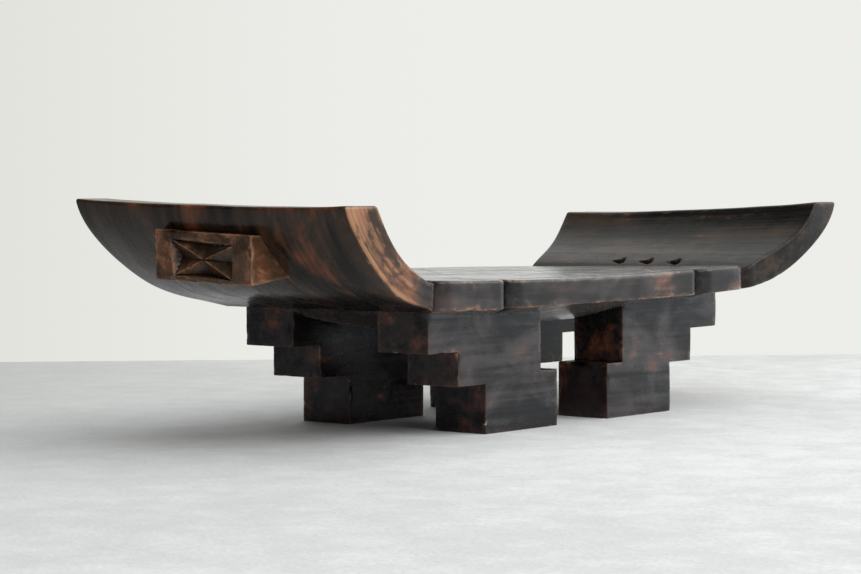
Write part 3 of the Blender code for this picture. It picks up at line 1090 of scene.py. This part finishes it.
@dataclass
class Lug(Member):
    """Block on the outer face of a wing, its face chip-carved with four sunk triangles."""

    finish: WaxedWood
    node: str
    side: Side
    half: float = 0.0262  # half width of the carved panel while it is flat
    border: Pair = (0.0032, 0.0060)  # below and above the panel
    depth: float = 0.0060
    slopes: Pair = (0.88, 0.84)  # share of each end and side triangle that slopes in
    cells: int = 64
    edge: float = 0.0011
    face: tuple[Pair, ...] = ((-0.0410, 0.1018), (0.0406, 0.1044), (-0.0400, 0.1326), (0.0414, 0.1360))
    panel: tuple[Pair, ...] = ((-0.0242, 0.1049), (0.0250, 0.1073), (-0.0257, 0.1263), (0.0283, 0.1300))
    under_rise: float = 0.0040  # the underside climbs this much by the wing
    root: float = 0.2560  # the block ends inside the wing
    seed: int = 61
    sunk: Array = field(init=False, repr=False)
    ridges: Array = field(init=False, repr=False)

    def carve(self, across: Array, up: Array) -> Array:
        """Returns the depth of the carving.

        Args:
            across: Place across the panel, from -1 to 1.
            up: Place up the panel, from -1 to 1.

        Returns:
            Depth below the face at each place.
        """
        p, q = np.abs(across), np.abs(up)
        ends, sides = (
            np.minimum((1 - a) / (1 - slope), np.clip((a - b) / slope, 0.0, 1.0) ** 0.75)
            for a, b, slope in ((p, q, self.slopes[0]), (q, p, self.slopes[1])))
        carved = self.depth * np.clip(np.where(p > q, ends, sides), 0.0, 1.0)
        ridge = 0.0010 * np.clip(1.0 - np.maximum(p, q), 0.0, 1.0) ** 0.5
        return np.where(np.maximum(p, q) < 1.0, carved + ridge, 0.0)

    def worn(self, points: Array, normals: Array) -> tuple[Array, Array, Array]:
        """Makes the whole block brown, darkens the sunk triangles with painted shade and lightens the
        ridges with rubbed wear and a painted highlight.
        """
        # painted highlight on the ridges and painted shade in the sunk triangles, on top of real wear
        rub_and_highlight = 0.55 + 0.8 * self.ridges - 0.5 * self.sunk
        return 0.9 - 0.6 * self.sunk, rub_and_highlight, np.zeros(len(points))

    @staticmethod
    def between(corners: tuple[Pair, ...], across: Array, up: Array) -> Array:
        """Finds places inside a four-cornered panel.

        Args:
            corners: Lower front, lower back, upper front and upper back corner.
            across: From -1 at the front to 1 at the back.
            up: From -1 at the bottom to 1 at the top.

        Returns:
            One place for each pair of numbers.
        """
        p, q = ((across + 1) / 2)[:, None], ((up + 1) / 2)[:, None]
        low = np.array(corners[0]) * (1 - p) + np.array(corners[1]) * p
        high = np.array(corners[2]) * (1 - p) + np.array(corners[3]) * p
        return low * (1 - q) + high * q

    def split(self, quads: Array, front: Array, across: Array, up: Array) -> list[tuple[int, ...]]:
        """Splits the faces of the panel in two, so that its ridges stay crisp.

        Args:
            quads: Corners of each face.
            front: True for a vertex of the front.
            across: Place of each vertex across the panel.
            up: Place of each vertex up the panel.

        Returns:
            The corners of each face and half face.
        """
        faces = []
        for quad in quads.tolist():
            middle_y, middle_z = across[quad].mean(), up[quad].mean()
            if not front[quad].all() or max(abs(middle_y), abs(middle_z)) > 1.0:
                faces.append(tuple(quad))
                continue
            a, b, c, d = quad
            rising = (across[c] - across[a]) * (up[c] - up[a]) > 0
            along = rising == (middle_y * middle_z > 0)
            faces += [(a, b, c), (a, c, d)] if along else [(b, c, d), (b, d, a)]
        return faces

    def build(self) -> bpy.types.Object:
        """Makes the lug as a flat block, then pulls its front to its true corners.

        Returns:
            The piece.
        """
        low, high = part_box(self.node)
        face = max(abs(low.x), abs(high.x))
        half, bottom, top = self.half, low.z + self.border[0], high.z - self.border[1]
        pitch_y, pitch_z = 2 * half / self.cells, (top - bottom) / self.cells
        block = Timber(
            boxes=[((self.root, low.y, low.z), (face, high.y, high.z))],
            edge=self.edge, pitch=(0.0022, 0.0016, 0.0012),
            fine=((1, -half - pitch_y, half + pitch_y, pitch_y),
                  (2, bottom - pitch_z, top + pitch_z, pitch_z)),
        )
        flat, quads = block.surface()
        points = block.worn(flat)
        across, up = flat[:, 1] / half, (flat[:, 2] - bottom) / (top - bottom) * 2 - 1
        front = flat[:, 0] > face - 1e-6
        carved = np.where(front, self.carve(across, up), 0.0)
        points[:, 0] -= carved
        self.sunk = smooth_step(carved / self.depth, 0.25, 0.95)
        within = front & (np.maximum(np.abs(across), np.abs(up)) < 1.0)
        self.ridges = within * (1.0 - smooth_step(np.abs(np.abs(across) - np.abs(up)), 0.0, 0.10))

        p, q = flat[:, 1] / high.y, (flat[:, 2] - low.z) / (high.z - low.z) * 2 - 1
        inside = np.clip(across, -1, 1), np.clip(up, -1, 1)
        home = np.column_stack([inside[0] * half, bottom + (inside[1] + 1) / 2 * (top - bottom)])
        rim = self.between(self.face, p, q) - flat[:, 1:]
        core = self.between(self.panel, *inside) - home
        beyond = np.clip((np.abs(p) - half / high.y) / (1 - half / high.y), 0, 1)
        above, below = (flat[:, 2] - top) / self.border[1], (bottom - flat[:, 2]) / self.border[0]
        over = np.clip(np.where(up > 0, above, below), 0, 1)
        fade = ((1 - beyond) * (1 - over))[:, None]
        points[:, 1:] += core * fade + rim * (1 - fade)
        inward = np.clip((face - flat[:, 0]) / 0.030, 0, 1.2)
        points[:, 2] += self.under_rise * (1 - q) / 2 * inward
        points[:, 0] *= self.side.value
        faces = self.split(quads, front, across, up)
        lug = make_piece(f"{self.node}_block", points, faces, 32.0)
        Wear(seed=self.seed, unevenness=0.00025, ripple=0.00006, chip_depth=0.0007).use(lug)
        # painted shade: darkens the sunk triangles by their depth
        paint_hollow_shade(lug.data, 0.45 * self.sunk)
        return lug


# ---------------------------------------------------------------- stage


@dataclass(frozen=True)
class Window:
    """A large soft light that faces the object and isn't seen itself."""

    name: str
    place: Triple
    size: Pair
    power: float  # watts
    colour: Triple
    target: Triple = (0.0, 0.0, 0.08)

    def build(self) -> None:
        """Adds the light to the scene."""
        data = bpy.data.lights.new(self.name, "AREA")
        data.shape = "RECTANGLE"
        data.size, data.size_y = self.size
        data.energy, data.color = self.power, self.colour
        lamp = add_object(self.name, data)
        lamp.location = self.place
        lamp.rotation_mode = "QUATERNION"
        lamp.rotation_quaternion = (Vector(self.target) - Vector(self.place)).to_track_quat("-Z", "Y")
        lamp.visible_camera = False


@dataclass
class Studio:
    """Pale floor and backdrop, soft light from the right and a level camera."""

    camera_place: Triple = (-1.4158, -1.0773, 0.1622)
    heading: float = 38.635  # degrees from +X toward +Y
    pitch: float = -2.29
    roll: float = -0.16
    lens: float = 105.58
    sensor: float = 36.0
    floor_half: float = 9.0
    floor_colour: Triple = (0.74, 0.745, 0.735)
    shade: Pair = (-0.65, 0.10)  # where the painted shadow over the left part of the floor begins and ends
    shade_across: Triple = (0.62, -0.78, 0.0)
    wall_distance: float = 0.60
    wall_facing: Triple = (-0.719, -0.695, 0.0)
    wall_span: Pair = (-0.50, 0.62)
    wall_height: float = 1.2
    wall_colour: Triple = (0.845, 0.852, 0.815)
    # painted shade: the backdrop's colour toward its left end, and where that shade fades in and out
    wall_shade_colour: Triple = (0.70, 0.70, 0.64)
    wall_shade_fade: Pair = (-0.75, 0.05)
    surround: Triple = (0.80, 0.81, 0.78)  # what the camera sees past the backdrop
    sky_from: Triple = (0.64, -0.76, 0.10)
    sky: tuple[tuple[float, Triple], ...] = (
        (0.0, (0.035, 0.033, 0.030)), (0.42, (0.09, 0.09, 0.09)),
        (0.72, (0.86, 0.93, 1.02)), (1.0, (2.30, 2.55, 2.95)))
    roof: float = 0.78  # glow of the ceiling
    roof_from: Triple = (0.45, -0.35, 0.82)
    roof_fade: Pair = (0.42, 0.95)
    windows: tuple[Window, ...] = (
        Window("window", (1.75, -2.15, 1.65), (2.0, 1.5), 25.0, (0.93, 0.97, 1.0)),
        Window("fill", (-0.8, -2.3, 1.5), (1.8, 1.4), 22.0, (1.0, 0.99, 0.96)))

    def set_camera(self) -> None:
        """Makes the camera and looks through it."""
        data = bpy.data.cameras.new("camera")
        data.lens, data.sensor_width = self.lens, self.sensor
        data.clip_start, data.clip_end = 0.05, 60.0
        camera = add_object("camera", data)
        heading, pitch = math.radians(self.heading), math.radians(self.pitch)
        flat = math.cos(pitch)
        forward = Vector((math.cos(heading) * flat, math.sin(heading) * flat, math.sin(pitch)))
        level = Matrix.Rotation(math.radians(-self.roll), 4, forward)
        right = level @ forward.cross(Vector((0, 0, 1))).normalized()
        up = right.cross(forward)
        turn = Matrix((right, up, -forward)).transposed().to_4x4()
        camera.matrix_world = Matrix.Translation(self.camera_place) @ turn
        bpy.context.scene.camera = camera

    def lay_floor(self) -> None:
        """Lays a softly mottled floor with a painted shadow darkening its left part."""
        mesh = bpy.data.meshes.new("floor")
        work = bmesh.new()
        bmesh.ops.create_grid(work, x_segments=4, y_segments=4, size=self.floor_half)
        work.to_mesh(mesh)
        work.free()
        write_field(mesh, "grain", read_points(mesh))
        shader = Shader(bpy.data.materials.new("floor"))
        broad = shader.clouds((2.2, 2.6, 1.0), 4.0, 1.0)
        fine = shader.clouds((34.0, 34.0, 1.0), 5.0, 2.0)
        grit = shader.clouds((260.0, 260.0, 1.0), 3.0, 3.0)
        tone = (broad * 0.35 + fine * 0.40 + grit * 0.25).eased(0.36, 0.64)
        dark, pale, shadow_tone = (tuple(np.multiply(self.floor_colour, share).tolist())
                           for share in (0.86, 1.07, (0.70, 0.70, 0.69)))
        # painted shadow: the floor colour darkens toward its left part
        across = shader.along(shader.field("grain", "Vector"), self.shade_across)
        shaded = 0.85 * (1.0 - across.eased(*self.shade))
        surface = shader.node("ShaderNodeBsdfPrincipled", {}, {
            "Base Color": shader.mix(shaded, shader.mix(tone, dark, pale), shadow_tone),
            "Roughness": 0.70,
            "Specular IOR Level": 0.25,
            "Normal": shader.bump(fine + grit * 0.5, 0.25, 0.002),
        })
        mesh.materials.append(shader.close(surface))
        add_object("floor", mesh)

    def hang_backdrop(self) -> None:
        """Stands a glowing pale backdrop behind the object, darker to the left with painted shade; it
        can't be seen from behind.
        """
        facing = Vector(self.wall_facing).normalized()
        along = Vector((-facing.y, facing.x, 0.0))
        corners = [along * reach - facing * self.wall_distance for reach in self.wall_span]
        corners += [c + Vector((0, 0, self.wall_height)) for c in reversed(corners)]
        mesh = bpy.data.meshes.new("backdrop")
        mesh.from_pydata([tuple(c) for c in corners], [], [(0, 1, 2, 3)])
        if mesh.polygons[0].normal.dot(facing) < 0:
            mesh.flip_normals()
        shader = Shader(bpy.data.materials.new("backdrop"))
        spot = shader.node("ShaderNodeTexCoord", {}, {}, "Object")
        # painted shade: the glow darkens toward the left end of the backdrop
        fade = shader.along(spot, along).eased(*self.wall_shade_fade)
        colour = shader.mix(fade, self.wall_shade_colour, self.wall_colour)
        glow = shader.node("ShaderNodeEmission", {}, {"Color": colour, "Strength": 1.0})
        behind = shader.node("ShaderNodeNewGeometry", {}, {}, "Backfacing")
        clear = shader.node("ShaderNodeBsdfTransparent", {}, {})
        both = shader.node("ShaderNodeMixShader", {}, {0: behind, 1: glow, 2: clear})
        mesh.materials.append(shader.close(both))
        add_object("backdrop", mesh)

    def light(self) -> None:
        """Lights the object from the right, with a dim left side."""
        shader = Shader(bpy.data.worlds.new("studio"))
        spot = shader.node("ShaderNodeTexCoord", {}, {}, "Generated")
        side = shader.along(spot, Vector(self.sky_from).normalized())
        side = shader.node("ShaderNodeMapRange", {}, {0: side, 1: -1.0})
        glow = shader.node("ShaderNodeValToRGB", {}, {0: side})
        ramp = glow.socket.node.color_ramp
        ramp.interpolation = "B_SPLINE"
        while len(ramp.elements) < len(self.sky):
            ramp.elements.new(0.5)
        for element, (place, colour) in zip(ramp.elements, self.sky):
            element.position = place
            element.color = (*colour, 1.0)
        above = shader.along(spot, Vector(self.roof_from).normalized())
        roof = above.eased(*self.roof_fade, self.roof)
        both = shader.node("ShaderNodeVectorMath", {"operation": "ADD"}, {0: glow, 1: roof})
        seen = shader.node("ShaderNodeLightPath", {}, {}, "Is Camera Ray")
        colour = shader.mix(seen, both, self.surround)
        background = shader.node("ShaderNodeBackground", {}, {"Color": colour})
        bpy.context.scene.world = shader.close(background)
        for window in self.windows:
            window.build()

    def build(self) -> None:
        """Sets up the stage, the camera and the light."""
        bpy.context.scene.view_settings.view_transform = "Standard"
        self.set_camera()
        self.lay_floor()
        self.hang_backdrop()
        self.light()


def members() -> list[Member]:
    """Lists the nine carved members.

    Returns:
        The members in building order.
    """
    seat = WaxedWood("seat_wood", brown=(0.052, 0.030, 0.024), roughness=0.21,
                     sheen=(0.93, 0.96, 1.0), coat=0.45, dust=0.12, bump=0.22)
    wing = WaxedWood("wing_wood", ground=(0.0056, 0.0046, 0.0037), brown=(0.046, 0.025, 0.0135),
                     brown_cover=0.9, roughness=0.27, shine=0.22, sheen=(0.95, 0.97, 1.0), coat=0.16)
    leg = WaxedWood("leg_wood", brown=(0.030, 0.0165, 0.0150), brown_cover=0.75, copper_cover=0.62,
                    roughness=0.26, shine=0.22, sheen=(0.86, 0.93, 1.0), coat=0.68, bump=0.36)
    lug = WaxedWood("lug_wood", ground=(0.022, 0.012, 0.007), grain=(0.060, 0.030, 0.015),
                    brown=(0.100, 0.052, 0.026), copper_cover=0.7, tan_cover=0.7)
    return [
        Seat(seat),
        Wing(wing, inner=((0.1990, 0.1058), (0.2060, 0.1087), (0.2181, 0.1135), (0.2340, 0.1215),
                          (0.2453, 0.1306), (0.2537, 0.1400), (0.2586, 0.1480))),
        Wing(wing, Side.RIGHT, "right_wing", rise=(0.0, -0.0085), flare=(0.0066, -0.0008),
             start=((0.1880, 0.0998), (0.1880, 0.0855)), length=0.0885),
        Leg(leg, "leg_front_left", Side.LEFT, 0.0304, 0.0598, 0.0327, 0.0552, seed=31),
        Leg(leg, "leg_front_right", Side.RIGHT, 0.0344, 0.0616, 0.0350, 0.0585, seed=35),
        Leg(leg, "leg_back_left", Side.LEFT, 0.0271, 0.0576, 0.0335, 0.0556,
            ledge=(0.0189, 0.0455), seed=41),
        Leg(leg, "leg_back_right", Side.RIGHT, 0.0304, 0.0598, 0.0293, 0.0509, seed=45),
        Lug(lug, "left_lug", Side.LEFT),
        Lug(lug, "right_lug", Side.RIGHT, seed=71),
    ]


def main() -> None:
    """Builds the stage and every member, then notes the sizes."""
    logging.basicConfig(level=logging.INFO, format="%(name)s: %(message)s")
    Studio().build()
    for member in members():
        member.dress()


if __name__ == "__main__":
    main()
